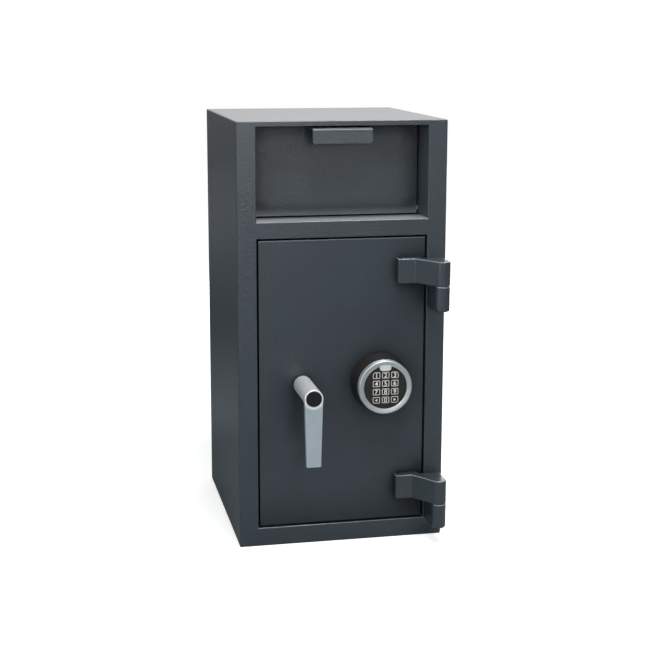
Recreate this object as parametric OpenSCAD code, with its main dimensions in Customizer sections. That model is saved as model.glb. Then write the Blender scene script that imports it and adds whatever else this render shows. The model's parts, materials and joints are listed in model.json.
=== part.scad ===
// Deposit safe: steel cabinet, tilting deposit hopper, hinged door with lever boltwork and a round keypad.
// Millimetres. X right, Y back, Z up. The origin is the middle of the underside; the front faces -Y.

/* [Cabinet] */
// width over the side walls
body_w = 330; // [324:1:350]
// height of the cabinet
body_h = 672; // [664:1:700]
// depth from the front face to the back
body_d = 358; // [350:1:400]
// sheet thickness of the cabinet
wall = 3; // [2.5:0.5:4]
// width of the frame at the sides
bar_w = 30; // [28:1:33]
// height of the frame above the hopper
top_bar = 8; // [7:0.5:10]
// height of the frame between hopper and door
mid_bar = 26; // [24:1:30]
// height of the frame under the door
bottom_bar = 30; // [28:1:34]
// reach of the door jamb behind the front face
jamb_reach = 29; // [27:1:30]
// floor anchor hole spacing across
anchor_dx = 200; // [160:5:220]
// floor anchor hole spacing front to back
anchor_dy = 220; // [180:5:230]
// floor anchor hole radius
anchor_r = 7; // [5:0.5:8]

/* [Hopper] */
// height of the hopper opening
hopper_h = 145; // [142:1:150]
// how far the hopper panel stands back
recess = 58; // [54:1:60]
// sheet thickness of the hopper
panel_t = 3; // [2:0.5:3]
// gap at each side of the hopper panel
panel_gap = 2; // [1.5:0.5:3]
// width of the pull
pull_w = 94; // [80:1:110]
// height of the lip of the pull
pull_drop = 25; // [18:1:28]
// reach of the pull in front of the panel
pull_out = 55; // [45:1:56]
// radius of the hopper pivots
pivot_r = 5; // [4:0.5:5]
// reach of the hopper floor behind its pivot
tray_reach = 198; // [170:1:200]

/* [Door] */
// gap around the door
door_gap = 2.5; // [2:0.25:3]
// how far the door face stands back from the frame
door_back = 1.5; // [1:0.25:2]
// thickness of the door plate
door_t = 8; // [7:0.5:9]
// radius of the hinge nose
nose_r = 11.5; // [11:0.25:12.5]
// distance of the hinge axis in front of the frame
axis_out = 46; // [44:1:48]
// height of each hinge knuckle
knuckle_h = 39; // [34:0.5:40]
// fillet around the foot of each frame knuckle
knuckle_round = 4; // [2:0.5:5]
// radius of the hinge pins
pin_r = 5; // [4:0.5:6]
// top of the upper hinge arm below the top of the cabinet
hinge_drop = 213.5; // [207:0.5:222]
// top of the lower hinge arm above the floor
hinge_lo = 107.5; // [106:0.5:120]

/* [Boltwork] */
// radius of the locking bolts
bolt_r = 10; // [8:0.5:10]
// spacing of the locking bolts
bolt_gap = 152; // [140:1:155]
// radius of the crank pin circle
crank_r = 17; // [15:0.5:17]
// radius of the spindle
spindle_r = 6; // [5:0.5:6.5]

/* [Handle] */
// reach of the handle in front of the door face
handle_out = 94; // [85:1:100]
// radius of the handle hub
hub_r = 14.5; // [14:0.25:16]
// length of the lever from the hub axis
lever_len = 107; // [90:1:112]
// thickness of the lever
lever_t = 10; // [8:0.5:12]

/* [Keypad] */
// outer radius of the keypad ring
ring_r = 42.7; // [42:0.1:44]
// inner radius of the keypad ring
ring_in = 34.3; // [33.9:0.1:35]
// reach of the keypad in front of the door face
pad_out = 42; // [38:1:46]
// width of a key
key_w = 12.5; // [11:0.25:13]
// height of a key
key_h = 11; // [10:0.25:11.5]
// travel of a key
key_travel = 1; // [0.6:0.1:1.2]

/* [Hidden] */
$fn = 64;
yf = -body_d / 2;
yb = body_d / 2;
hw = body_w / 2;
open_hw = hw - bar_w;
z_lintel = body_h - top_bar;
z_sill = z_lintel - hopper_h;
z_head = z_sill - mid_bar;
z_foot = bottom_bar;
hinge_hi = body_h - hinge_drop;
corner_r = 2;
rim_x = 35;
rim_y = 30;
run = 0.05;
slip = 0.3;
fit = 0.1;

// hopper
panel_hw = open_hw - panel_gap;
y_panel = yf + recess;
piv_y = y_panel + 9;
piv_z = z_sill + 9;
panel_lo = z_sill + 1.5;
panel_hi = z_lintel - 2.5;
swing_r = panel_hi - piv_z;
cheek_in = panel_hw - panel_t - 0.5;
cheek_r = swing_r - 2.5;
tray_tilt = 20;
tray_t = 2.5;
liner_back = piv_y + 142;
liner_top = z_lintel;
lip_y = y_panel - pull_out;
pull_t = 3.5;
pull_top = z_lintel - 3;
stop_y = y_panel + panel_t + 12.2;
guard_r = tray_reach + 6;
guard_lo = 31;
buffer_x = panel_hw - 43;
strip_h = 20;

// door
door_hw = open_hw - door_gap;
door_lo = z_foot + door_gap;
door_hi = z_head - door_gap;
yd = yf + door_back;
y_plate = yd + door_t;
axis_x = hw - 6 - nose_r;
axis_y = yf - axis_out;
swing_max = sqrt(pow(axis_x + open_hw - 1, 2) + pow(axis_out, 2));
pan_t = 2.5;
pan_depth = 57;
y_pan = yf + pan_depth;
pan_left = axis_x - sqrt(pow(swing_max, 2) - pow(y_pan + 4 - axis_y, 2)) + 1.5;
pan_right = door_hw - 5.5;
pan_lo = door_lo + 12.5;
pan_hi = door_hi - 12.5;
cover_t = 1.5;
cut_x = axis_x - nose_r - 24;
arm_proud = 15.5;
arm_dx = axis_x - cut_x;
arm_dy = axis_y - yd + arm_proud;
arm_a = atan2(arm_dy, arm_dx) - asin(nose_r / sqrt(pow(arm_dx, 2) + pow(arm_dy, 2)));
touch_x = axis_x + (nose_r - 0.2) * cos(arm_a - 90);
touch_y = axis_y + (nose_r - 0.2) * sin(arm_a - 90);

// boltwork
hx = 68.5 - door_hw;
hz = (door_lo + door_hi) / 2 + 0.5;
y_bolt = y_pan - 4 - bolt_r;
throw = crank_r * sqrt(2);
bolt_tip = pan_left - 1;
bar_x0 = pan_left + pan_t + throw + 4;
bar_x1 = bar_x0 + 12;
bar_over = 16;
tongue_h = 9;
plate_reach = 46;
plate_t = 4;
y_cp0 = y_bolt - bolt_r - plate_t;
crank_t = 5;
y_cr1 = y_cp0 - 4;
y_cr0 = y_cr1 - crank_t;
pin_c_r = 4;
pin_x = hx + crank_r * sqrt(0.5);
pin_z = hz - crank_r * sqrt(0.5);
pin_dev = 0.5 * crank_r / 17;
post_x = bar_x1 + 7;
post_r = 4;
post_dz = crank_r + 7 + post_r + 5;

// lever
lever_bx = 11.1;
lever_tx = hub_r - 0.4;

// keypad and lock
kx = door_hw - 72.5;
kz = hz - 1;
yk = yd - pad_out;
face_y = yk + 1.2;
shell_d = 12;
key_px = key_w + 2.2;
key_pz = key_h + 2.2;
lock_w = 84;
lock_h = 61;
lock_t = 32;
lock_x0 = kx - lock_w / 2 + 10;
plate_x1 = lock_x0 - 10.5;
cable_z = kz + ring_r - 2.7;
cable_r = 2;

// sweeps of a flat outline along each axis
module along_x(x0, x1) {
  translate([x0, 0, 0])
    rotate([90, 0, 90])
      linear_extrude(height = x1 - x0)
        children();
}

module along_y(y0, y1) {
  translate([0, y1, 0])
    rotate([90, 0, 0])
      linear_extrude(height = y1 - y0)
        children();
}

module along_z(z0, z1) {
  translate([0, 0, z0])
    linear_extrude(height = z1 - z0)
      children();
}

module rod_y(x, z, r, y0, y1) {
  translate([x, y1, z])
    rotate([90, 0, 0])
      cylinder(r = r, h = y1 - y0);
}

module rod_x(y, z, r, x0, x1) {
  translate([x0, y, z])
    rotate([0, 90, 0])
      cylinder(r = r, h = x1 - x0);
}

module box(x0, x1, y0, y1, z0, z1) {
  translate([x0, y0, z0])
    cube([x1 - x0, y1 - y0, z1 - z0]);
}

// flat rectangle with a rounding of its own at each corner, from the lower left one round
module plate4(x0, x1, z0, z1, r) {
  polygon([[x0 + r[0], z0], [x1 - r[1], z0], [x1, z0 + r[1]], [x1, z1 - r[2]], [x1 - r[2], z1],
    [x0 + r[3], z1], [x0, z1 - r[3]], [x0, z0 + r[0]]]);
  translate([x0 + r[0], z0 + r[0]])
    circle(r = r[0]);
  translate([x1 - r[1], z0 + r[1]])
    circle(r = r[1]);
  translate([x1 - r[2], z1 - r[2]])
    circle(r = r[2]);
  translate([x0 + r[3], z1 - r[3]])
    circle(r = r[3]);
}

// flat rectangle with rounded corners, given by its edges
module plate2(x0, x1, z0, z1, r) {
  translate([x0 + r, z0])
    square([x1 - x0 - 2 * r, z1 - z0]);
  translate([x0, z0 + r])
    square([x1 - x0, z1 - z0 - 2 * r]);
  for (px = [x0 + r, x1 - r], pz = [z0 + r, z1 - r])
    translate([px, pz])
      circle(r = r);
}

module rect2(x0, x1, z0, z1) {
  translate([x0, z0])
    square([x1 - x0, z1 - z0]);
}

module anchors(z0, z1) {
  for (sx = [-1, 1], sy = [-1, 1])
    translate([sx * anchor_dx / 2, sy * anchor_dy / 2, z0 - 1])
      cylinder(r = anchor_r, h = z1 - z0 + 2);
}

// cabinet
module outer_wrap() {
  color([0.26, 0.29, 0.32])
    difference() {
      along_y(yf + wall, yb - wall)
        difference() {
          plate2(-hw, hw, 0, body_h, corner_r);
          rect2(-hw + wall, hw - wall, wall, body_h - wall);
        }
      anchors(0, wall);
    }
}

module front_frame() {
  color([0.26, 0.29, 0.32]) {
    along_y(yf, yf + wall)
      difference() {
        plate2(-hw, hw, 0, body_h, corner_r);
        rect2(-open_hw, open_hw, z_sill, z_lintel);
        rect2(-open_hw, open_hw, z_foot, z_head);
      }
    along_y(yf + wall, yf + jamb_reach)
      difference() {
        rect2(-open_hw - wall, open_hw + wall, z_foot - wall, z_head + wall);
        rect2(-open_hw, open_hw, z_foot, z_head);
      }
  }
}

module back_plate() {
  color([0.26, 0.29, 0.32])
    along_y(yb - wall, yb)
      plate2(-hw, hw, 0, body_h, corner_r);
}

module base_doubler() {
  color([0.26, 0.29, 0.32])
    difference() {
      box(-anchor_dx / 2 - rim_x, anchor_dx / 2 + rim_x, -anchor_dy / 2 - rim_y, anchor_dy / 2 + rim_y, wall, wall + 3);
      anchors(wall, wall + 3);
    }
}

module hopper_liner() {
  color([0.26, 0.29, 0.32])
    difference() {
      union() {
        for (s = [-1, 1])
          box(min(s * open_hw, s * (open_hw + wall)), max(s * open_hw, s * (open_hw + wall)),
            yf + wall, liner_back, z_sill - wall, liner_top + wall);
        box(-open_hw - 1, open_hw + 1, yf + wall, y_panel - 2.5, z_sill - wall, z_sill);
        box(-open_hw - 1, open_hw + 1, yf + wall, stop_y + 12, liner_top, liner_top + wall);
      }
      rod_x(piv_y, piv_z, pivot_r + run, -hw, hw);
    }
}

module hopper_pivot_pins() {
  color([0.75, 0.76, 0.78])
    for (m = [0, 1])
      mirror([m, 0, 0]) {
        rod_x(piv_y, piv_z, pivot_r, cheek_in + 0.1, open_hw + wall);
        rod_x(piv_y, piv_z, pivot_r + 4, open_hw + wall, open_hw + wall + 4);
      }
}

module hopper_stop_strip() {
  color([0.26, 0.29, 0.32])
    box(-cheek_in + 8, cheek_in - 8, stop_y + 5, stop_y + 5 + wall, z_lintel - strip_h, z_lintel);
}

module hopper_buffers() {
  color([0.08, 0.08, 0.08])
    for (s = [-1, 1])
      rod_y(s * buffer_x, panel_hi - 4, 4, stop_y, stop_y + 5);
}

module anti_fish_guard() {
  color([0.26, 0.29, 0.32])
    along_x(-cheek_in, cheek_in)
      intersection() {
        translate([piv_y, piv_z])
          difference() {
            circle(r = guard_r + 3);
            circle(r = guard_r);
          }
        rect2(piv_y, piv_y + guard_r + 5, piv_z + guard_r * sin(guard_lo), body_h - wall);
      }
}

module knuckle_half() {
  square([nose_r - knuckle_round, knuckle_h]);
  translate([0, knuckle_round])
    square([nose_r, knuckle_h - knuckle_round]);
  translate([nose_r - knuckle_round, knuckle_round])
    circle(r = knuckle_round);
}

module frame_knuckle(z1) {
  color([0.26, 0.29, 0.32])
    difference() {
      union() {
        translate([axis_x, axis_y, z1 - knuckle_h])
          rotate([0, 0, 180])
            rotate_extrude(angle = 180)
              knuckle_half();
        translate([axis_x, axis_y + axis_out, z1 - knuckle_h])
          rotate([90, 0, 0])
            linear_extrude(axis_out) {
              knuckle_half();
              mirror([1, 0])
                knuckle_half();
            }
      }
      translate([axis_x, axis_y, z1 - knuckle_h + 8])
        cylinder(r = pin_r + run, h = knuckle_h);
    }
}

module upper_frame_knuckle() {
  frame_knuckle(hinge_hi - knuckle_h - 1);
}

module lower_frame_knuckle() {
  frame_knuckle(hinge_lo - knuckle_h - 1);
}

module hinge_pins() {
  color([0.75, 0.76, 0.78])
    for (z = [hinge_hi, hinge_lo])
      translate([axis_x, axis_y, z - 2 * knuckle_h - 1 + 8])
        cylinder(r = pin_r, h = 2 * knuckle_h + 1 - 8 - 8);
}

module hinge_washers() {
  color([0.75, 0.76, 0.78])
    for (z = [hinge_hi, hinge_lo])
      translate([axis_x, axis_y, z - knuckle_h - 1])
        difference() {
          cylinder(r = nose_r - 0.5, h = 0.8);
          translate([0, 0, -1])
            cylinder(r = pin_r + run, h = 3);
        }
}

// hopper
module hopper_panel() {
  color([0.26, 0.29, 0.32])
    along_x(-panel_hw, panel_hw) {
      rect2(y_panel, y_panel + panel_t, panel_lo, panel_hi);
      rect2(y_panel, y_panel + panel_t + 12, panel_hi - panel_t, panel_hi);
    }
}

module cheek2() {
  difference() {
    union() {
      translate([piv_y, piv_z])
        circle(r = 10.5);
      intersection() {
        translate([piv_y, piv_z])
          circle(r = cheek_r);
        polygon([[y_panel + panel_t, panel_lo + tray_t], [y_panel + panel_t, panel_hi - panel_t],
          [piv_y + cheek_r, panel_hi], [piv_y + cheek_r, piv_z - cheek_r * sin(tray_tilt)],
          [piv_y + 2, panel_lo + tray_t]]);
      }
    }
    translate([piv_y, piv_z])
      circle(r = pivot_r + run);
    rect2(y_panel - 5, y_panel + panel_t, panel_lo - 20, panel_hi);
    rect2(y_panel - 5, piv_y + 2, panel_lo - 20, panel_lo + tray_t);
    translate([piv_y + 2, panel_lo + tray_t])
      rotate(-tray_tilt)
        translate([-8, -20])
          square([200, 20]);
  }
}

module hopper_cheek_left() {
  color([0.26, 0.29, 0.32])
    along_x(-cheek_in - panel_t, -cheek_in)
      cheek2();
}

module hopper_cheek_right() {
  color([0.26, 0.29, 0.32])
    along_x(cheek_in, cheek_in + panel_t)
      cheek2();
}

module hopper_floor() {
  color([0.26, 0.29, 0.32])
    along_x(-cheek_in - panel_t, cheek_in + panel_t)
      union() {
        rect2(y_panel + panel_t, piv_y + 2, panel_lo, panel_lo + tray_t);
        translate([piv_y + 2, panel_lo + tray_t])
          rotate(-tray_tilt)
            translate([-0.4, -tray_t])
              square([tray_reach - 2, tray_t]);
      }
}

module hopper_pull() {
  color([0.3, 0.33, 0.36])
    intersection() {
      along_x(-pull_w / 2, pull_w / 2) {
        rect2(lip_y + 5, y_panel, pull_top - pull_t, pull_top);
        rect2(lip_y, lip_y + pull_t, pull_top - pull_drop, pull_top - 5);
        intersection() {
          translate([lip_y + 5, pull_top - 5])
            difference() {
              circle(r = 5);
              circle(r = 5 - pull_t);
            }
          rect2(lip_y, lip_y + 5, pull_top - 5, pull_top);
        }
      }
      along_y(lip_y - 1, y_panel + 1)
        union() {
          plate2(-pull_w / 2, pull_w / 2, pull_top - pull_drop, pull_top + 1, 4);
          rect2(-pull_w / 2, pull_w / 2, pull_top - pull_t - 3, pull_top + 1);
        }
    }
}

// door
module door_plate() {
  color([0.22, 0.25, 0.28])
    difference() {
      box(-door_hw, door_hw, yd, y_plate, door_lo, door_hi);
      rod_y(hx, hz, spindle_r + run, yd - 1, y_plate + 1);
      rod_y(kx, cable_z, cable_r + 1.5, yd - 1, y_plate + 1);
      for (px = lock_px(), pz = lock_pz())
        rod_y(px, pz, 2.5, y_plate - 5, y_plate + 1);
    }
}

module door_pan() {
  color([0.3, 0.33, 0.36])
    difference() {
      box(pan_left, pan_right, y_plate, y_pan, pan_lo, pan_hi);
      box(pan_left + pan_t, pan_right - pan_t, y_plate - 1, y_pan - pan_t, pan_lo + pan_t, pan_hi - pan_t);
      box(pan_left + 14, pan_right - 14, y_pan - pan_t - 1, y_pan + 1, pan_lo + 14, pan_hi - 14);
      for (i = [-1, 0, 1])
        rod_x(y_bolt, hz + i * bolt_gap, bolt_r + fit, pan_left - 1, pan_left + pan_t + 1);
      for (px = cover_px(), pz = cover_pz())
        rod_y(px, pz, 2, y_pan - pan_t - 1, y_pan + 1);
    }
}

function cover_px() = [pan_left + 8, pan_right - 8];
function cover_pz() = [pan_lo + 30, hz + bolt_gap / 3, pan_hi - 30];
function lock_px() = [lock_x0 + 7, lock_x0 + lock_w - 7];
function lock_pz() = [kz - lock_h / 2 + 7, kz + lock_h / 2 - 7];

module boltwork_cover() {
  color([0.3, 0.33, 0.36])
    difference() {
      box(pan_left, pan_right, y_pan, y_pan + cover_t, pan_lo, pan_hi);
      for (px = cover_px(), pz = cover_pz())
        rod_y(px, pz, 2, y_pan - 1, y_pan + cover_t + 1);
    }
}

module cover_screws() {
  color([0.75, 0.76, 0.78])
    for (px = cover_px(), pz = cover_pz()) {
      rod_y(px, pz, 1.9, y_pan - 4, y_pan + cover_t + 1);
      rod_y(px, pz, 3.8, y_pan + cover_t, y_pan + cover_t + 2);
    }
}

module dog_bar() {
  color([0.7, 0.71, 0.73])
    box(pan_right, open_hw + 8, yf + jamb_reach + 4, yf + jamb_reach + 12, pan_lo + 20, pan_hi - 20);
}

module arm(z1) {
  color([0.26, 0.29, 0.32])
    difference() {
      along_z(z1 - knuckle_h, z1) {
        translate([axis_x, axis_y])
          circle(r = nose_r);
        polygon([[cut_x - 26.5, yd], [cut_x - 26.5, yd - arm_proud], [cut_x, yd - arm_proud],
          [touch_x, touch_y], [axis_x, axis_y], [axis_x + nose_r, axis_y], [axis_x + nose_r, yf - 9],
          [cut_x + 14, yf - 9], [cut_x + 10.5, yd]]);
      }
      translate([axis_x, axis_y, z1 - knuckle_h - 1])
        cylinder(r = pin_r + run, h = knuckle_h + 1 - 7);
    }
}

module upper_hinge_arm() {
  arm(hinge_hi);
}

module lower_hinge_arm() {
  arm(hinge_lo);
}

module handle_washer() {
  color([0.05, 0.05, 0.05])
    difference() {
      rod_y(hx, hz, hub_r + 1, yd - 3, yd);
      rod_y(hx, hz, spindle_r + run, yd - 4, yd + 1);
    }
}

module lock_body() {
  color([0.62, 0.63, 0.65])
    difference() {
      box(lock_x0, lock_x0 + lock_w, y_plate, y_plate + lock_t, kz - lock_h / 2, kz + lock_h / 2);
      box(lock_x0 - 1, lock_x0 + 36, y_cp0 - 7 - slip, y_cp0 + 3 + slip, hz - tongue_h - slip, hz + tongue_h + slip);
      for (px = lock_px(), pz = lock_pz())
        rod_y(px, pz, 2.5, y_plate - 1, y_plate + lock_t + 1);
      translate([kx, y_plate + 12, kz + lock_h / 2 - 4])
        cylinder(r = cable_r + 0.2, h = 6);
    }
}

module lock_screws() {
  color([0.75, 0.76, 0.78])
    for (px = lock_px(), pz = lock_pz()) {
      rod_y(px, pz, 2.4, y_plate - 4.5, y_plate + lock_t + 1);
      rod_y(px, pz, 4, y_plate + lock_t, y_plate + lock_t + 3);
    }
}

module guide_posts() {
  color([0.75, 0.76, 0.78])
    for (s = [-1, 1]) {
      rod_y(post_x, hz + s * post_dz, post_r, y_plate, y_cp0 + plate_t + 1.5);
      rod_y(post_x, hz + s * post_dz, post_r + 2, y_plate, y_cp0 - 1.5);
    }
}

module keypad_housing() {
  color([0.06, 0.055, 0.05])
    difference() {
      translate([kx, yd, kz])
        rotate([90, 0, 0])
          cylinder(r1 = ring_r + 4.5, r2 = ring_r - 1.2, h = pad_out - shell_d);
      rod_y(kx, cable_z, cable_r + 0.2, yd - 8, yd + 1);
    }
}

module keypad_bezel() {
  color([0.72, 0.73, 0.74])
    difference() {
      translate([kx, yk, kz])
        rotate([90, 0, 0])
          rotate_extrude()
            polygon([[ring_in, -shell_d], [ring_in, -0.6], [ring_in + 0.6, 0], [ring_r - 1.6, 0],
              [ring_r - 0.3, -1.3], [ring_r, -3], [ring_r, -5], [ring_r - 1.8, -5], [ring_r - 1.8, -6.6],
              [ring_r - 0.6, -6.6], [ring_r, -7.2], [ring_r, -shell_d]]);
      along_y(yk - 1, yk + 6)
        lens2(0.1);
    }
}

module lens2(g) {
  plate2(kx - 9.2 - g, kx + 9.2 + g, kz + 26.4 - g, kz + 36.8 + g, 4.5);
}

module keypad_face() {
  color([0.05, 0.05, 0.05])
    difference() {
      rod_y(kx, kz, ring_in - 0.1, face_y, yk + shell_d);
      along_y(yk - 1, yk + 6)
        lens2(0.1);
      for (c = [-1, 0, 1], r = [0:3])
        along_y(face_y - 1, face_y + 5.5)
          key2(c, r, slip);
    }
}

module keypad_lamp_lens() {
  color([0.92, 0.93, 0.94])
    along_y(yk + 0.6, yk + 6)
      lens2(0);
}

module keypad_cable() {
  color([0.05, 0.05, 0.05]) {
    rod_y(kx, cable_z, cable_r, yd - 7, y_plate + 6);
    translate([kx, y_plate + 6, cable_z - 6])
      rotate([90, 0, 90])
        rotate_extrude(angle = 90)
          translate([6, 0])
            circle(r = cable_r);
    translate([kx, y_plate + 12, kz + lock_h / 2 - 3])
      cylinder(r = cable_r, h = cable_z - 6 - kz - lock_h / 2 + 3);
  }
}

// keys, c counts columns from the middle, r counts rows from the top; the pad's own corners are rounder
function key_corner(c, r, c1, r1) = c == c1 && r == r1 ? 4.8 : 1.6;

module key2(c, r, g) {
  translate([kx + c * key_px, kz + (1.5 - r) * key_pz])
    plate4(-key_w / 2 - g, key_w / 2 + g, -key_h / 2 - g, key_h / 2 + g,
      [key_corner(c, r, -1, 3), key_corner(c, r, 1, 3), key_corner(c, r, 1, 0), key_corner(c, r, -1, 0)]);
}

module key(c, r) {
  color([0.1, 0.1, 0.1])
    along_y(face_y - 1.1, face_y + 4)
      key2(c, r, 0);
}

// handle
module handle_lever() {
  color([0.6, 0.64, 0.66])
    difference() {
      union() {
        rod_y(hx, hz, hub_r, yd - handle_out, yd - 3.2);
        along_y(yd - handle_out, yd - handle_out + lever_t)
          polygon([[hx - lever_tx, hz], [hx + lever_tx, hz], [hx + lever_bx, hz - lever_len],
            [hx - lever_bx, hz - lever_len]]);
      }
      rod_y(hx, hz, 12, yd - handle_out - 1, yd - handle_out + 3);
      rod_y(hx, hz, spindle_r + run, yd - 43, yd - 2);
    }
}

module handle_cap() {
  color([0.05, 0.05, 0.05])
    rod_y(hx, hz, 11.9, yd - handle_out - 1, yd - handle_out + 3);
}

module handle_spindle() {
  color([0.75, 0.76, 0.78])
    rod_y(hx, hz, spindle_r, yd - 42, y_cr0);
}

module drive_crank() {
  color([0.75, 0.76, 0.78])
    along_y(y_cr0, y_cr1)
      union() {
        translate([hx, hz])
          circle(r = 11);
        translate([pin_x, pin_z])
          circle(r = 7);
        translate([hx, hz])
          rotate(-45)
            translate([0, -7])
              square([crank_r, 14]);
      }
}

module crank_pin() {
  color([0.75, 0.76, 0.78])
    rod_y(pin_x, pin_z, pin_c_r, y_cr1, y_cp0 + plate_t + 1);
}

// carriage
module carriage_plate() {
  color([0.72, 0.7, 0.6])
    along_y(y_cp0, y_cp0 + plate_t)
      difference() {
        union() {
          rect2(bar_x0, hx + plate_reach, hz - post_dz - 9, hz + post_dz + 9);
          rect2(hx + plate_reach - 1, plate_x1, hz - tongue_h, hz + tongue_h);
        }
        rect2(pin_x - pin_c_r - pin_dev - 0.1, pin_x + pin_c_r + pin_dev + 0.1,
          hz - crank_r - pin_c_r - 0.8, hz - crank_r * sqrt(0.5) + pin_c_r + 0.8);
        for (s = [-1, 1])
          rect2(post_x - post_r - slip, post_x + throw + post_r + slip, hz + s * post_dz - post_r - 0.1,
            hz + s * post_dz + post_r + 0.1);
      }
}

module carriage_bar() {
  color([0.72, 0.7, 0.6])
    box(bar_x0, bar_x1, y_bolt - bolt_r, y_bolt + bolt_r - 1, hz - bolt_gap - bar_over, hz + bolt_gap + bar_over);
}

module locking_bolts() {
  color([0.75, 0.76, 0.78])
    for (i = [-1, 0, 1])
      rod_x(y_bolt, hz + i * bolt_gap, bolt_r, bolt_tip, bar_x0);
}

module lock_bolt() {
  color([0.7, 0.68, 0.5])
    box(plate_x1 + 0.5, lock_x0 + 26, y_cp0 - 7, y_cp0 + 3, hz - tongue_h, hz + tongue_h);
}

outer_wrap();
front_frame();
back_plate();
base_doubler();
hopper_liner();
hopper_pivot_pins();
hopper_stop_strip();
hopper_buffers();
anti_fish_guard();
upper_frame_knuckle();
lower_frame_knuckle();
hinge_pins();
hinge_washers();
hopper_panel();
hopper_cheek_left();
hopper_cheek_right();
hopper_floor();
hopper_pull();
door_plate();
door_pan();
boltwork_cover();
cover_screws();
dog_bar();
upper_hinge_arm();
lower_hinge_arm();
handle_washer();
lock_body();
lock_screws();
guide_posts();
keypad_housing();
keypad_bezel();
keypad_face();
keypad_lamp_lens();
keypad_cable();
handle_lever();
handle_cap();
handle_spindle();
drive_crank();
crank_pin();
carriage_plate();
carriage_bar();
locking_bolts();
lock_bolt();
key(-1, 0);  // key_1
key(0, 0);  // key_2
key(1, 0);  // key_3
key(-1, 1);  // key_4
key(0, 1);  // key_5
key(1, 1);  // key_6
key(-1, 2);  // key_7
key(0, 2);  // key_8
key(1, 2);  // key_9
key(-1, 3);  // key_left
key(0, 3);  // key_0
key(1, 3);  // key_right
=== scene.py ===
import json
import math

import bmesh
import bpy
from mathutils import Matrix, Vector


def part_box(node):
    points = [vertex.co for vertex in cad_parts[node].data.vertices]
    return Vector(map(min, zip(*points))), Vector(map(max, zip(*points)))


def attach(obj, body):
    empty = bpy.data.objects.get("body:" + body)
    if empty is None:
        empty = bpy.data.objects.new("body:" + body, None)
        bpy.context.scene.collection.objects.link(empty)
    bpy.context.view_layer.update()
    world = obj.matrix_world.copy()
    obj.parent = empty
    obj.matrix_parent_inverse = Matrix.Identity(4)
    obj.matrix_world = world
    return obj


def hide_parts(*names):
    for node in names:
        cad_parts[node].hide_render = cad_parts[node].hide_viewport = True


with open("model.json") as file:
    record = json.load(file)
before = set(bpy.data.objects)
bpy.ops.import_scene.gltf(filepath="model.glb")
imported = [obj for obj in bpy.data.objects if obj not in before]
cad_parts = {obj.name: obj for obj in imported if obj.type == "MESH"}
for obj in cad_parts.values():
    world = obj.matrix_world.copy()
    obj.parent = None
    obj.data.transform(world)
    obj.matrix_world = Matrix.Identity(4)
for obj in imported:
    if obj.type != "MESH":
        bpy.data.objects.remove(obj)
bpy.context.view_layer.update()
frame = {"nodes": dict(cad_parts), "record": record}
NODES = frame["nodes"]
BODY_OF = {node: body for body, nodes in frame["record"]["behaviour"]["bodies"].items() for node in nodes}
SLOT_OF = {row["node"]: row["material_slot"] for row in frame["record"]["subparts"]}
KEYS = [name for name in NODES if name.startswith("key_")]
MM = 0.001  # lengths are in metres


def link(obj):
    bpy.context.scene.collection.objects.link(obj)
    return obj


def middle(node):
    """X and Z of the middle of a node's box"""
    low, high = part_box(node)
    return (low[0] + high[0]) / 2, (low[2] + high[2]) / 2


# camera, fitted to the corners of the cabinet in the photograph
CAMERA_AT = (-0.4604, -2.2531, 0.8013)
CAMERA_TURN = (-11.922, -11.361, 0.149)  # yaw, pitch and roll in degrees
FOCAL_LENGTH = 75.19
SENSOR_WIDTH = 36.0
CAMERA_SHIFT = (0.0058, -0.03)


def looking(place, yaw, pitch, roll):
    """the matrix of a camera that looks along +Y before it is turned"""
    yaw, pitch, roll = (math.radians(v) for v in (yaw, pitch, roll))
    forward = Vector((-math.sin(yaw) * math.cos(pitch), math.cos(yaw) * math.cos(pitch), math.sin(pitch)))
    level = Vector((math.cos(yaw), math.sin(yaw), 0.0))
    upright = level.cross(forward)
    right = math.cos(roll) * level + math.sin(roll) * upright
    up = -math.sin(roll) * level + math.cos(roll) * upright
    matrix = Matrix((right, up, -forward)).transposed().to_4x4()
    matrix.translation = Vector(place)
    return matrix


def make_camera():
    data = bpy.data.cameras.new("camera")
    data.sensor_width = SENSOR_WIDTH
    data.lens = FOCAL_LENGTH
    data.shift_x, data.shift_y = CAMERA_SHIFT
    camera = link(bpy.data.objects.new("camera", data))
    camera.matrix_world = looking(CAMERA_AT, *CAMERA_TURN)
    bpy.context.scene.camera = camera


make_camera()


# nodes of a material or of the world; t is the node tree
def feed(t, value, socket):
    """a socket, a number or a colour of three numbers goes into a socket"""
    if isinstance(value, bpy.types.NodeSocket):
        t.links.new(value, socket)
    elif isinstance(value, tuple):
        socket.default_value = (*value, 1)
    else:
        socket.default_value = value


def coords(t, kind="Object"):
    return t.nodes.new("ShaderNodeTexCoord").outputs[kind]


def axes(t, kind="Object"):
    split = t.nodes.new("ShaderNodeSeparateXYZ")
    t.links.new(coords(t, kind), split.inputs["Vector"])
    return split.outputs


def noise(t, scale, detail=2.0, rough=0.5, stretch=None):
    n = t.nodes.new("ShaderNodeTexNoise")
    n.inputs["Scale"].default_value = scale
    n.inputs["Detail"].default_value = detail
    n.inputs["Roughness"].default_value = rough
    place = coords(t)
    if stretch:
        mapping = t.nodes.new("ShaderNodeMapping")
        mapping.inputs["Scale"].default_value = stretch
        t.links.new(place, mapping.inputs["Vector"])
        place = mapping.outputs["Vector"]
    t.links.new(place, n.inputs["Vector"])
    return n.outputs["Fac"]


def spread(t, value, a, b, lo=0.0, hi=1.0):
    """lo where the value is a, hi where it is b, and level beyond them"""
    n = t.nodes.new("ShaderNodeMapRange")
    n.inputs["From Min"].default_value = a
    n.inputs["From Max"].default_value = b
    n.inputs["To Min"].default_value = lo
    n.inputs["To Max"].default_value = hi
    t.links.new(value, n.inputs["Value"])
    return n.outputs["Result"]


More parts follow.
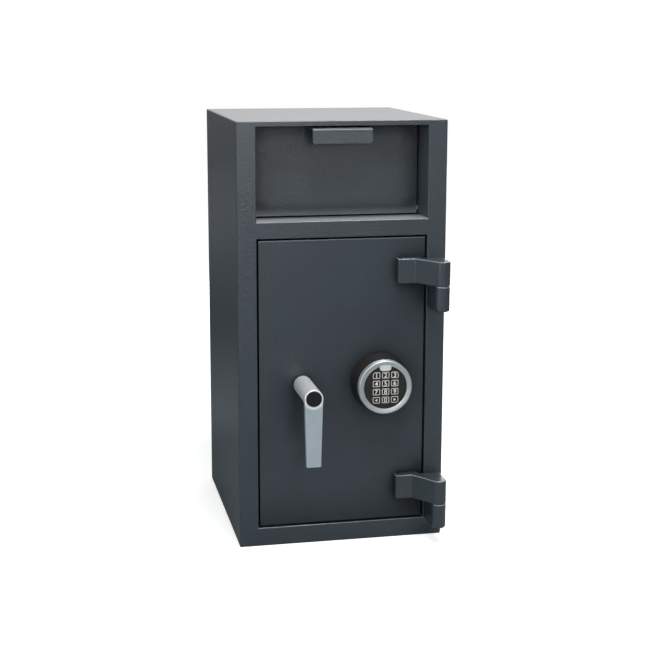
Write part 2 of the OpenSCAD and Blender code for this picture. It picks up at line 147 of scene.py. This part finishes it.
def tint(t, value, dark, light):
    n = t.nodes.new("ShaderNodeValToRGB")
    for element, colour, position in zip(n.color_ramp.elements, (dark, light), (0.3, 0.7)):
        element.color = (*colour, 1)
        element.position = position
    t.links.new(value, n.inputs["Fac"])
    return n.outputs["Color"]


def calc(t, operation, a, b):
    n = t.nodes.new("ShaderNodeMath")
    n.operation = operation
    feed(t, a, n.inputs[0])
    feed(t, b, n.inputs[1])
    return n.outputs["Value"]


def vector_calc(t, operation, a, b=None):
    """b is a socket or three numbers, where the operation takes one"""
    n = t.nodes.new("ShaderNodeVectorMath")
    n.operation = operation
    t.links.new(a, n.inputs[0])
    if isinstance(b, bpy.types.NodeSocket):
        t.links.new(b, n.inputs[1])
    elif b:
        n.inputs[1].default_value = b
    return n.outputs["Value" if operation in ("LENGTH", "DOT_PRODUCT") else "Vector"]


def blend(t, fac, a, b, kind="RGBA"):
    """a where fac is 0, b where it is 1; each is a socket or a value"""
    n = t.nodes.new("ShaderNodeMix")
    n.data_type = kind
    t.links.new(fac, n.inputs["Factor"])
    feed(t, a, n.inputs["A"])
    feed(t, b, n.inputs["B"])
    return n.outputs["Result"]


def mix_shaders(t, fac, a, b):
    n = t.nodes.new("ShaderNodeMixShader")
    t.links.new(fac, n.inputs["Fac"])
    t.links.new(a, n.inputs[1])
    t.links.new(b, n.inputs[2])
    return n.outputs["Shader"]


def bump(t, p, heights):
    """heights is a list of (value, strength, distance in metres)"""
    last = None
    for value, strength, distance in heights:
        n = t.nodes.new("ShaderNodeBump")
        n.inputs["Strength"].default_value = strength
        n.inputs["Distance"].default_value = distance
        t.links.new(value, n.inputs["Height"])
        if last is not None:
            t.links.new(last, n.inputs["Normal"])
        last = n.outputs["Normal"]
    t.links.new(last, p.inputs["Normal"])


def radial(t, centre):
    """distance from an axis that runs front to back through centre, an X and a Z"""
    off = vector_calc(t, "SUBTRACT", coords(t), (centre[0], 0, centre[1]))
    return vector_calc(t, "LENGTH", vector_calc(t, "MULTIPLY", off, (1, 0, 1)))


def edges(t, radius):
    """1 along the edges of a sheet, 0 on its flats"""
    soft = t.nodes.new("ShaderNodeBevel")
    soft.samples = 4
    soft.inputs["Radius"].default_value = radius
    true = t.nodes.new("ShaderNodeNewGeometry")
    facing = vector_calc(t, "DOT_PRODUCT", soft.outputs["Normal"], true.outputs["True Normal"])
    return spread(t, facing, 0.98, 0.8)


def top_edges(t):
    """1 on rounded edges that look upward, 0 on flats, sides and undersides"""
    up = axes(t, "Normal")["Z"]
    return calc(t, "MULTIPLY", spread(t, up, 0.15, 0.35), spread(t, up, 0.98, 0.9))


# kinds of material; scales of noise are in waves per metre
CLOUD_SCALE = 14.0
GRAIN_SCALE = 900.0
MOTTLE_SCALE = 420.0
PEEL_SCALE = 260.0
PEEL_STRETCH = (1.0, 1.0, 1.8)
SCRATCH_SCALE = 520.0
PLASTIC_CLOUD_SCALE = 40.0
PLASTIC_GRAIN_SCALE = 1400.0
GRAIN_DEPTH = 0.2 * MM
MOTTLE_DEPTH = 0.5 * MM
PEEL_DEPTH = 0.8 * MM
POLISH_DEPTH = 0.3 * MM
COAT = 0.2
COAT_ROUGHNESS = 0.2
# pale colour of rounded edges that look upward, a painted highlight
EDGE_HIGHLIGHT = (0.13, 0.155, 0.175)
# pale tone of the sill, scuffed coat and painted light together, and the depth over which it fades towards
# the back
WORN_AND_LIT = (0.33, 0.35, 0.365)
SILL_FADE = 25 * MM
# colour of painted shade where other pieces stand close
PAINTED_SHADE = (0.003, 0.004, 0.005)
SHADE_OPEN = 0.5  # share of open surroundings at which the painted shade is darkest
FOOT_FADE = 30 * MM
HUB_BRIGHT = (0.98, 0.985, 0.985)
# pale colour and width of a painted highlight along the lever's edges
LEVER_EDGE_HIGHLIGHT = (0.72, 0.76, 0.78)
LEVER_EDGE_W = 1.6 * MM
HUB_MOTTLE = 0.72  # darkest spots as a share of the bright colour
HUB_ROUGHNESS = 0.54
ARM_METALLIC = 0.4
HUB_METALLIC = 0.85


def new_material(name):
    m = bpy.data.materials.new(name)
    m.use_nodes = True
    t = m.node_tree
    t.nodes.clear()
    out = t.nodes.new("ShaderNodeOutputMaterial")
    p = t.nodes.new("ShaderNodeBsdfPrincipled")
    t.links.new(p.outputs["BSDF"], out.inputs["Surface"])
    return m, t, p


def reopen(m):
    """the node tree of a material, its shader, and what feeds its base colour"""
    p = m.node_tree.nodes["Principled BSDF"]
    return m.node_tree, p, p.inputs["Base Color"].links[0].from_socket


def powder(name, dark, light, rough=(0.31, 0.37), grain=0.5, edge_highlight=EDGE_HIGHLIGHT, peel=PEEL_DEPTH):
    """powder coat with grain and orange peel, with a painted highlight on edges that look upward"""
    m, t, p = new_material(name)
    coat = tint(t, noise(t, CLOUD_SCALE, 3.0), dark, light)
    fine = noise(t, GRAIN_SCALE, 2.0, 0.6)
    mottle = noise(t, MOTTLE_SCALE)
    coarse = noise(t, PEEL_SCALE, 2.0, 0.6, PEEL_STRETCH)
    t.links.new(blend(t, top_edges(t), coat, edge_highlight), p.inputs["Base Color"])
    t.links.new(spread(t, mottle, 0.35, 0.65, *rough), p.inputs["Roughness"])
    p.inputs["Specular IOR Level"].default_value = 0.5
    p.inputs["Coat Weight"].default_value = COAT
    p.inputs["Coat Roughness"].default_value = COAT_ROUGHNESS
    bump(t, p, [(fine, grain * 0.5, GRAIN_DEPTH), (mottle, grain * 0.8, MOTTLE_DEPTH),
                (coarse, grain * 0.5, peel)])
    return m


def metal(name, dark, light, rough, grain=0.06, scale=60.0, metallic=1.0):
    m, t, p = new_material(name)
    fine = noise(t, scale * 14, 2.0, 0.6)
    t.links.new(tint(t, noise(t, scale, 3.0, 0.6), dark, light), p.inputs["Base Color"])
    t.links.new(spread(t, fine, 0.3, 0.7, *rough), p.inputs["Roughness"])
    p.inputs["Metallic"].default_value = metallic
    bump(t, p, [(fine, grain, POLISH_DEPTH)])
    return m


def plastic(name, dark, light, rough, grain=0.2):
    m, t, p = new_material(name)
    fine = noise(t, PLASTIC_GRAIN_SCALE, 2.0, 0.6)
    t.links.new(tint(t, noise(t, PLASTIC_CLOUD_SCALE), dark, light), p.inputs["Base Color"])
    t.links.new(spread(t, fine, 0.3, 0.7, *rough), p.inputs["Roughness"])
    bump(t, p, [(fine, grain, GRAIN_DEPTH)])
    return m


def worn_and_lit_sill(m, z, front, back):
    """a pale band on the sill at height z: the coat scuffed by deposits that slide over it, and painted
    light that falls in from the front
    """
    t, p, coat = reopen(m)
    place = axes(t)
    sill_band = spread(t, place["Z"], z - 0.6 * MM, z - 0.2 * MM)
    above_fades = (place["Z"], z + 0.9 * MM, z + 0.5 * MM)
    front_fades = (place["Y"], front - 0.5 * MM, front)
    back_fades = (place["Y"], back, back - SILL_FADE)
    scratched = (noise(t, SCRATCH_SCALE, 2.0, 0.6), 0.25, 0.55)
    for part in (above_fades, front_fades, back_fades, scratched):
        sill_band = calc(t, "MULTIPLY", sill_band, spread(t, *part))
    t.links.new(blend(t, sill_band, coat, WORN_AND_LIT), p.inputs["Base Color"])


def painted_sill_bounce(m, z, rise, tone):
    """painted light along the lower edge of a panel at height z, bounced up from the sill below it"""
    t, p, coat = reopen(m)
    t.links.new(blend(t, spread(t, axes(t)["Z"], z + rise, z), coat, tone), p.inputs["Base Color"])


def painted_crevice_shade(m, distance, least, level=0.5, open_below=None, clear_from=0.92):
    """painted shade: a darker surface with less gloss where others stand close to it, but not at its foot
    """
    t, p, coat = reopen(m)
    near = t.nodes.new("ShaderNodeAmbientOcclusion")
    near.samples = 8
    near.inputs["Distance"].default_value = distance
    clear = spread(t, near.outputs["AO"], SHADE_OPEN, clear_from, least, 1.0)
    if open_below:
        clear = calc(t, "MAXIMUM", clear, spread(t, axes(t)["Z"], open_below + FOOT_FADE, open_below))
    t.links.new(blend(t, clear, PAINTED_SHADE, coat), p.inputs["Base Color"])
    t.links.new(calc(t, "MULTIPLY", clear, level), p.inputs["Specular IOR Level"])


def bright_hub(m, centre, radius, front):
    """a satin lever passes into a brighter turned hub with a matt front face, with a painted highlight
    along the lever's edges
    """
    t, p, base = reopen(m)
    satin = p.inputs["Roughness"].links[0].from_socket
    near = spread(t, radial(t, centre), radius + 3 * MM, radius - 0.5 * MM)
    turned_part = calc(t, "MULTIPLY", near, spread(t, axes(t)["Y"], front + 0.6 * MM, front + 1.6 * MM))
    spots = tuple(HUB_MOTTLE * v for v in HUB_BRIGHT)
    mottled = tint(t, noise(t, MOTTLE_SCALE, 3.0, 0.6), spots, HUB_BRIGHT)
    pale = blend(t, near, base, mottled)
    t.links.new(blend(t, edges(t, LEVER_EDGE_W), pale, LEVER_EDGE_HIGHLIGHT), p.inputs["Base Color"])
    t.links.new(spread(t, turned_part, 0, 1, ARM_METALLIC, HUB_METALLIC), p.inputs["Metallic"])
    t.links.new(blend(t, turned_part, satin, HUB_ROUGHNESS, "FLOAT"), p.inputs["Roughness"])


# paint of the cabinet, the door, the hopper and the hinges
PAINT = powder("body_paint", (0.024, 0.0335, 0.041), (0.029, 0.0395, 0.048), grain=0.9)
DOOR = powder("door_paint", (0.022, 0.0305, 0.038), (0.027, 0.037, 0.0455))
# painted shadow on the door around the lever, the keypad and the hinge arms
painted_crevice_shade(DOOR, 110 * MM, 0.3, clear_from=0.99)
LINER = powder("liner_paint", (0.048, 0.058, 0.068), (0.055, 0.066, 0.077))
LINER_WALL = 3 * MM
SILL_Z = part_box("hopper_liner")[0][2] + LINER_WALL
SILL_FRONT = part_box("front_frame")[0][1] - 1 * MM
PANEL_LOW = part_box("hopper_panel")[0]
# a pale band on the sill: scuffed coat with painted light on it
worn_and_lit_sill(LINER, SILL_Z, SILL_FRONT, PANEL_LOW[1] - 1 * MM)
PANEL = powder("panel_paint", (0.028, 0.037, 0.044), (0.035, 0.045, 0.053), (0.29, 0.38), 1.0,
               peel=1.6 * MM)
# painted light bounced up from the sill onto the panel's lower edge
painted_sill_bounce(PANEL, PANEL_LOW[2], 12 * MM, (0.10, 0.115, 0.125))
# painted shade on the panel under the frame's top edge and under the pull
painted_crevice_shade(PANEL, 35 * MM, 0.28, 0.48, PANEL_LOW[2])
# the pull has a brighter painted highlight on edges that look upward
PULL = powder("pull_paint", (0.036, 0.044, 0.050), (0.046, 0.055, 0.063), (0.28, 0.42), 1.0,
              (0.23, 0.26, 0.28), 1.4 * MM)
# the hinge pieces have a brighter painted highlight on edges that look upward
HINGE = powder("hinge_paint", (0.026, 0.0355, 0.043), (0.031, 0.042, 0.0505), (0.28, 0.32), 0.5,
               (0.19, 0.215, 0.235))

# metals
LEVER = metal("lever_silver", (0.36, 0.42, 0.455), (0.40, 0.46, 0.495), (0.34, 0.46), 0.05, 50.0,
              ARM_METALLIC)
HUB = middle("handle_cap")
LEVER_LOW, LEVER_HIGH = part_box("handle_lever")
bright_hub(LEVER, HUB, LEVER_HIGH[2] - HUB[1], LEVER_LOW[1])
RING = metal("ring_chrome", (0.465, 0.50, 0.495), (0.53, 0.565, 0.56), (0.38, 0.48), 0.04, 50.0)
# painted shade in the ring's groove and beside its bore
painted_crevice_shade(RING, 4 * MM, 0.12)
ZINC = metal("bright_zinc", (0.50, 0.51, 0.52), (0.62, 0.63, 0.65), (0.26, 0.42))
CAST = metal("lock_casting", (0.34, 0.35, 0.36), (0.42, 0.43, 0.44), (0.4, 0.55), 0.2)
BRASS = metal("latch_brass", (0.60, 0.47, 0.22), (0.68, 0.55, 0.28), (0.28, 0.4), 0.05)

# plastics, rubber and print
BLACK = plastic("black_plastic", (0.006, 0.005, 0.0045), (0.009, 0.0075, 0.007), (0.4, 0.52))
CAP = plastic("cap_black", (0.004, 0.004, 0.004), (0.006, 0.006, 0.006), (0.5, 0.6), 0.1)
CAP.node_tree.nodes["Principled BSDF"].inputs["Specular IOR Level"].default_value = 0.25
FACE = plastic("face_black", (0.005, 0.0045, 0.004), (0.007, 0.006, 0.0055), (0.3, 0.4), 0.08)
KEY = plastic("key_rubber", (0.006, 0.0055, 0.005), (0.009, 0.008, 0.0075), (0.5, 0.62))
LENS = plastic("lamp_lens", (0.50, 0.52, 0.53), (0.62, 0.64, 0.65), (0.2, 0.28), 0.03)
RUBBER = plastic("buffer_rubber", (0.012, 0.012, 0.012), (0.02, 0.02, 0.02), (0.6, 0.75), 0.3)
CABLE = plastic("cable_black", (0.01, 0.01, 0.01), (0.016, 0.016, 0.016), (0.45, 0.6), 0.1)
PRINT = plastic("key_print", (0.66, 0.63, 0.58), (0.74, 0.71, 0.66), (0.45, 0.55), 0.05)

BY_SLOT = {"body_paint": PAINT, "bright_zinc": ZINC, "lever_silver": LEVER, "ring_chrome": RING,
           "black_plastic": BLACK, "key_rubber": KEY, "lamp_lens": LENS, "lock_casting": CAST,
           "latch_brass": BRASS, "buffer_rubber": RUBBER, "cable_black": CABLE}
BY_NODE = {"upper_hinge_arm": HINGE, "lower_hinge_arm": HINGE, "upper_frame_knuckle": HINGE,
           "lower_frame_knuckle": HINGE, "door_plate": DOOR, "hopper_pull": PULL, "keypad_face": FACE,
           "handle_cap": CAP, "hopper_liner": LINER, "hopper_panel": PANEL}


def paint(obj, material):
    obj.data.materials.clear()
    obj.data.materials.append(material)


for name, obj in NODES.items():
    paint(obj, BY_NODE.get(name) or BY_SLOT[SLOT_OF[name]])


# every pressed or milled edge has a small radius
EDGE_RADIUS = {"front_frame": 1.4 * MM, "door_plate": 1.8 * MM,
               "hopper_panel": 0.6 * MM, "hopper_pull": 1.2 * MM,
               "upper_hinge_arm": 1.5 * MM, "lower_hinge_arm": 1.5 * MM,
               "upper_frame_knuckle": 0.6 * MM, "lower_frame_knuckle": 0.6 * MM,
               "handle_lever": 1 * MM, "handle_cap": 0.8 * MM, "handle_washer": 0.6 * MM,
               "keypad_housing": 2 * MM, "keypad_lamp_lens": 0.6 * MM,
               "lock_body": 1.5 * MM, "lock_bolt": 0.6 * MM, "locking_bolts": 1.2 * MM,
               "carriage_bar": 0.6 * MM, "carriage_plate": 0.4 * MM, "dog_bar": 0.8 * MM}
KEY_EDGE = 0.6 * MM
JOIN_WITHIN = 0.004 * MM
FLAT_ANGLE = 0.6
EDGE_ANGLE = 35
SHADE_WEIGHT = 80


def bevel(name, width, segments=3):
    modifiers = NODES[name].modifiers
    join = modifiers.new("join", "WELD")
    join.merge_threshold = JOIN_WITHIN
    flats = modifiers.new("flats", "DECIMATE")
    flats.decimate_type = "DISSOLVE"
    flats.angle_limit = math.radians(FLAT_ANGLE)
    edge = modifiers.new("edge", "BEVEL")
    edge.width = width
    edge.segments = segments
    edge.limit_method = "ANGLE"
    edge.angle_limit = math.radians(EDGE_ANGLE)
    edge.use_clamp_overlap = False
    shade = modifiers.new("shade", "WEIGHTED_NORMAL")
    shade.weight = SHADE_WEIGHT


for name, width in EDGE_RADIUS.items():
    bevel(name, width)
for name in KEYS:
    bevel(name, KEY_EDGE, 2)


# new pieces
def ride_on(obj, node, material):
    paint(obj, material)
    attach(obj, BODY_OF[node])


def mesh_object(name, bm):
    mesh = bpy.data.meshes.new(name)
    bm.to_mesh(mesh)
    bm.free()
    return link(bpy.data.objects.new(name, mesh))


def loop_object(name, loops):
    """a ring of quads through closed loops of points, the last loop joined to the first"""
    bm = bmesh.new()
    rings = [[bm.verts.new(point) for point in loop] for loop in loops]
    count = len(rings[0])
    for a, b in zip(rings, rings[1:] + rings[:1]):
        for i in range(count):
            j = (i + 1) % count
            bm.faces.new((a[i], a[j], b[j], b[i]))
    bmesh.ops.recalc_face_normals(bm, faces=bm.faces)
    return mesh_object(name, bm)


# the ring of the keypad is dished towards its face, with a rounded lip and a groove around its rim
RING_WALL = 8.4 * MM
LIP_W = 1.7 * MM
LIP_D = 2.0 * MM
DISH_D = 0.74 * MM
GROOVE_AT = 3.2 * MM
GROOVE_W = 4.0 * MM
GROOVE_D = 2.0 * MM
GROOVE_EDGE = 0.2 * MM
BORE_EDGE_W = 0.4 * MM
BORE_EDGE_D = 0.36 * MM
RIM_EDGE = 0.6 * MM
RING_STEPS = 120
RING_CREASE = 24


def arc(centre, across, deep, start, end, steps):
    """points of an elliptic arc in a lathe profile: 0 degrees looks to the front, 90 outward"""
    angles = [math.radians(start + (end - start) * i / steps) for i in range(steps + 1)]
    return [(centre[0] + across * math.sin(a), centre[1] - deep * math.cos(a)) for a in angles]


def turned(name, centre, front, profile):
    """a closed profile of (radius, depth behind the front), turned about an axis along Y"""
    turns = [2 * math.pi * i / RING_STEPS for i in range(RING_STEPS)]
    obj = loop_object(name, [[(centre[0] + r * math.cos(a), front + depth, centre[1] + r * math.sin(a))
                              for a in turns] for r, depth in profile])
    for face in obj.data.polygons:
        face.use_smooth = True
    obj.data.set_sharp_from_angle(angle=math.radians(RING_CREASE))
    return obj


def keypad_ring():
    low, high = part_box("keypad_bezel")
    rim = (high[0] - low[0]) / 2
    bore = rim - RING_WALL
    depth = high[1] - low[1]
    groove_end = GROOVE_AT + GROOVE_W
    profile = [(bore, depth)]
    profile += arc((bore + BORE_EDGE_W, DISH_D + BORE_EDGE_D), BORE_EDGE_W, BORE_EDGE_D, -90, 0, 2)
    profile += arc((rim - LIP_W, LIP_D), LIP_W, LIP_D, -15, 90, 7)
    profile += [(rim, GROOVE_AT - GROOVE_EDGE), (rim - GROOVE_EDGE, GROOVE_AT), (rim - GROOVE_D, GROOVE_AT),
                (rim - GROOVE_D, groove_end)]
    profile += arc((rim - RIM_EDGE, groove_end + RIM_EDGE), RIM_EDGE, RIM_EDGE, 0, 90, 3)
    profile += [(rim, depth)]
    ring = turned("keypad_ring", middle("keypad_bezel"), low[1], profile)
    ride_on(ring, "keypad_bezel", RING)
    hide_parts("keypad_bezel")


keypad_ring()

# each key has a raised print of an outline and a sign
PRINT_SINK = 0.1 * MM
OUTLINE_RISE = 0.06 * MM
OUTLINE_INSET = 0.6 * MM
OUTLINE_W = 0.8 * MM
ROUND_CORNER = 4.2 * MM
SMALL_CORNER = 1.3 * MM
LEAST_CORNER = 0.3 * MM
CORNER_STEPS = 6
SIGN_H = 7.2 * MM
SIGN_RISE = 0.08 * MM
SIGN_BOLD = 0.12 * MM
CAPITAL_SHARE = 0.72  # height of a digit as a share of the font's size
ARROW_TIP = 2.2 * MM
ARROW_BACK = 1.6 * MM
ARROW_HALF = 2.1 * MM


def corner_radii(key):
    """upper right, upper left, lower left, lower right: a key at a corner of the block is rounder there"""
    big = {"key_3": 0, "key_1": 1, "key_left": 2, "key_right": 3}.get(key)
    return [ROUND_CORNER if i == big else SMALL_CORNER for i in range(4)]


def rounded(centre, w, h, radii, y):
    points = []
    for (sx, sz, start), r in zip(((1, 1, 0), (-1, 1, 90), (-1, -1, 180), (1, -1, 270)), radii):
        for i in range(CORNER_STEPS + 1):
            a = math.radians(start + 90 * i / CORNER_STEPS)
            x = centre[0] + sx * (w / 2 - r) + r * math.cos(a)
            points.append((x, y, centre[1] + sz * (h / 2 - r) + r * math.sin(a)))
    return points


def print_outline(name, node):
    low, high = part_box(node)
    w, h = (high[i] - low[i] - 2 * OUTLINE_INSET for i in (0, 2))
    back, front = low[1] + PRINT_SINK, low[1] - OUTLINE_RISE
    loops = []
    for inset, y in ((0, back), (0, front), (OUTLINE_W, front), (OUTLINE_W, back)):
        radii = [max(r - inset, LEAST_CORNER) for r in corner_radii(node)]
        loops.append(rounded(middle(node), w - 2 * inset, h - 2 * inset, radii, y))
    ride_on(loop_object(name, loops), node, PRINT)


def text_mesh(name, text):
    curve = bpy.data.curves.new(name + "_curve", "FONT")
    curve.body = text
    curve.align_x = "CENTER"
    curve.align_y = "CENTER"
    curve.size = SIGN_H / CAPITAL_SHARE
    curve.extrude = SIGN_RISE
    curve.offset = SIGN_BOLD
    holder = link(bpy.data.objects.new(name + "_text", curve))
    bpy.context.view_layer.update()
    mesh = bpy.data.meshes.new_from_object(holder.evaluated_get(bpy.context.evaluated_depsgraph_get()))
    bpy.data.objects.remove(holder)
    bpy.data.curves.remove(curve)
    mesh.name = name
    return mesh


def print_digit(name, node, text):
    cx, cz = middle(node)
    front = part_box(node)[0][1]
    mesh = text_mesh(name, text)
    xs = [v.co.x for v in mesh.vertices]
    ys = [v.co.y for v in mesh.vertices]
    mx, my = (min(xs) + max(xs)) / 2, (min(ys) + max(ys)) / 2
    for v in mesh.vertices:
        v.co = Vector((cx + v.co.x - mx, front - v.co.z, cz + v.co.y - my))
    mesh.update()
    ride_on(link(bpy.data.objects.new(name, mesh)), node, PRINT)


def print_arrow(name, node, side):
    """side is -1 for an arrow that points left, 1 for one that points right"""
    cx, cz = middle(node)
    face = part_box(node)[0][1]
    corners = [(side * ARROW_TIP, 0), (-side * ARROW_BACK, ARROW_HALF), (-side * ARROW_BACK, -ARROW_HALF)]
    bm = bmesh.new()
    front = [bm.verts.new((cx + x, face - SIGN_RISE, cz + z)) for x, z in corners]
    back = [bm.verts.new((cx + x, face + PRINT_SINK, cz + z)) for x, z in corners]
    bm.faces.new(front)
    bm.faces.new(back)
    for i in range(3):
        j = (i + 1) % 3
        bm.faces.new((front[i], front[j], back[j], back[i]))
    bmesh.ops.recalc_face_normals(bm, faces=bm.faces)
    ride_on(mesh_object(name, bm), node, PRINT)


for key in KEYS:
    label = key[len("key_"):]
    print_outline("outline_" + label, key)
    if label.isdigit():
        print_digit("digit_" + label, key, label)
print_arrow("mark_left", "key_left", -1)
print_arrow("mark_right", "key_right", 1)


# floor; places are in metres
FLOOR_HALF = 6
FLOOR_PALE = ((0.88, 0.88, 0.88), (0.91, 0.91, 0.91))
FLOOR_CLOUD_SCALE = 3.0
WHITE = (1, 1, 1)
CAMERA_GLOW = (0.4, 1.6, 0.58, 0.8)  # near and far from the origin, and the strength at each
STUDIO_IN_FRONT = (0.40, 0.43, 0.45)
STUDIO_UNDER = (0.25, 0.285, 0.305)
STUDIO_BEHIND = (0.10, 0.12, 0.13)
UNDER_FROM = (-0.3, 0.3)  # the tone in front passes into the one under the object between these Y
BEHIND_FROM = (0.7, 1.5)  # and that one into the tone behind between these
STUDIO_GLOW = (0.85, 0.9, 1.0)
GLOW_BEHIND = (1.8, 3.4, 0.0, 0.2)  # from one Y to another, and the strength at each
GLOW_LEFT_X = (-1.2, -2.2)
GLOW_LEFT_Y = (0.2, -0.6, 0.0, 1.2)  # as behind, and it fades in along X too


def make_floor():
    """pale for the camera; a dimmer studio floor lights the object and shows in its sheen"""
    bm = bmesh.new()
    corners = ((-1, -1), (1, -1), (1, 1), (-1, 1))
    bm.faces.new([bm.verts.new((x * FLOOR_HALF, y * FLOOR_HALF, 0.0)) for x, y in corners])
    floor = mesh_object("floor", bm)
    m, t, p = new_material("floor_pale")
    to_camera = t.nodes.new("ShaderNodeLightPath").outputs["Is Camera Ray"]
    t.links.new(tint(t, noise(t, FLOOR_CLOUD_SCALE), *FLOOR_PALE), p.inputs["Base Color"])
    p.inputs["Roughness"].default_value = 0.9
    feed(t, WHITE, p.inputs["Emission Color"])
    shine = spread(t, vector_calc(t, "LENGTH", coords(t)), *CAMERA_GLOW)
    t.links.new(calc(t, "MULTIPLY", to_camera, shine), p.inputs["Emission Strength"])
    dim = t.nodes.new("ShaderNodeBsdfPrincipled")
    place = axes(t)
    near = blend(t, spread(t, place["Y"], *UNDER_FROM), STUDIO_IN_FRONT, STUDIO_UNDER)
    grey = blend(t, spread(t, place["Y"], *BEHIND_FROM), near, STUDIO_BEHIND)
    t.links.new(grey, dim.inputs["Base Color"])
    dim.inputs["Roughness"].default_value = 1.0
    dim.inputs["Specular IOR Level"].default_value = 0.0
    feed(t, STUDIO_GLOW, dim.inputs["Emission Color"])
    far_behind = spread(t, place["Y"], *GLOW_BEHIND)
    far_left = calc(t, "MULTIPLY", spread(t, place["X"], *GLOW_LEFT_X), spread(t, place["Y"], *GLOW_LEFT_Y))
    t.links.new(calc(t, "MAXIMUM", far_behind, far_left), dim.inputs["Emission Strength"])
    t.links.new(mix_shaders(t, to_camera, dim.outputs["BSDF"], p.outputs["BSDF"]),
                t.nodes["Material Output"].inputs["Surface"])
    paint(floor, m)


# world; a way is the X, Y or Z of the direction of a ray, from -1 to 1
WORLD_LIGHT = (0.93, 0.96, 1.0)
WORLD_STRENGTH = 0.22
WORLD_SHEEN = (1.0, 0.99, 0.985)


def background(t, colour, strength):
    n = t.nodes.new("ShaderNodeBackground")
    feed(t, colour, n.inputs["Color"])
    feed(t, strength, n.inputs["Strength"])
    return n.outputs["Background"]


def make_world():
    """white for the camera; for sheen, bright walls behind and left and a bright ceiling, dim in front"""
    world = bpy.data.worlds.new("studio")
    bpy.context.scene.world = world
    world.use_nodes = True
    t = world.node_tree
    t.nodes.clear()
    out = t.nodes.new("ShaderNodeOutputWorld")
    path = t.nodes.new("ShaderNodeLightPath")
    way = axes(t, "Generated")
    behind = calc(t, "MULTIPLY", spread(t, way["Y"], -0.2, 0.5), spread(t, way["X"], -0.28, 0.15))
    back_wall = calc(t, "MULTIPLY", behind, spread(t, way["Z"], -0.12, 0.0))
    front = calc(t, "MAXIMUM", spread(t, way["Y"], -0.3, 0.2, 0.17, 0.1), spread(t, way["Z"], 0.3, 0.8))
    left_wall = calc(t, "MULTIPLY", spread(t, way["X"], -0.5, -0.75), spread(t, way["Z"], -0.5, -0.1))
    glow = calc(t, "MAXIMUM", calc(t, "MAXIMUM", back_wall, front), left_wall)
    surround = mix_shaders(t, path.outputs["Is Glossy Ray"], background(t, WORLD_LIGHT, WORLD_STRENGTH),
                           background(t, WORLD_SHEEN, glow))
    t.links.new(mix_shaders(t, path.outputs["Is Camera Ray"], surround, background(t, WHITE, 1.0)),
                out.inputs["Surface"])


# lamps, each with its place, its target, its width and height, and its power in watts
LAMPS = {
    "front_left": ((-1.3, -1.6, 1.25), (0, -0.17, 0.6), (1.1, 1.1), 11),
    "front_mid": ((-0.05, -2.3, 0.82), (-0.05, -0.17, 0.6), (0.5, 0.4), 9),
    "front_right": ((0.95, -1.6, 1.1), (0, -0.17, 0.4), (0.5, 0.5), 3),
    "high": ((-0.05, -1.1, 1.9), (0, -0.17, 0.5), (0.6, 0.4), 12),
    "overhead": ((0.3, -0.46, 1.95), (0.1, -0.17, 0.5), (0.6, 0.12), 20),
    "rim_back": ((0.6, 2.2, 1.7), (0, 0, 0.6), (1.8, 1.0), 5),
    "back_low": ((0.7, 2.2, 0.42), (0, 0.1, 0.35), (1.2, 0.36), 12),
}


def area_lamp(name, place, target, size, power):
    data = bpy.data.lights.new(name, "AREA")
    data.shape = "RECTANGLE"
    data.size, data.size_y = size
    data.energy = power
    lamp = link(bpy.data.objects.new(name, data))
    lamp.location = place
    lamp.rotation_mode = "QUATERNION"
    lamp.rotation_quaternion = (Vector(target) - Vector(place)).to_track_quat("-Z", "Y")


make_floor()
make_world()
for name, lamp in LAMPS.items():
    area_lamp(name, *lamp)

scene = bpy.context.scene
scene.view_settings.view_transform = "Standard"
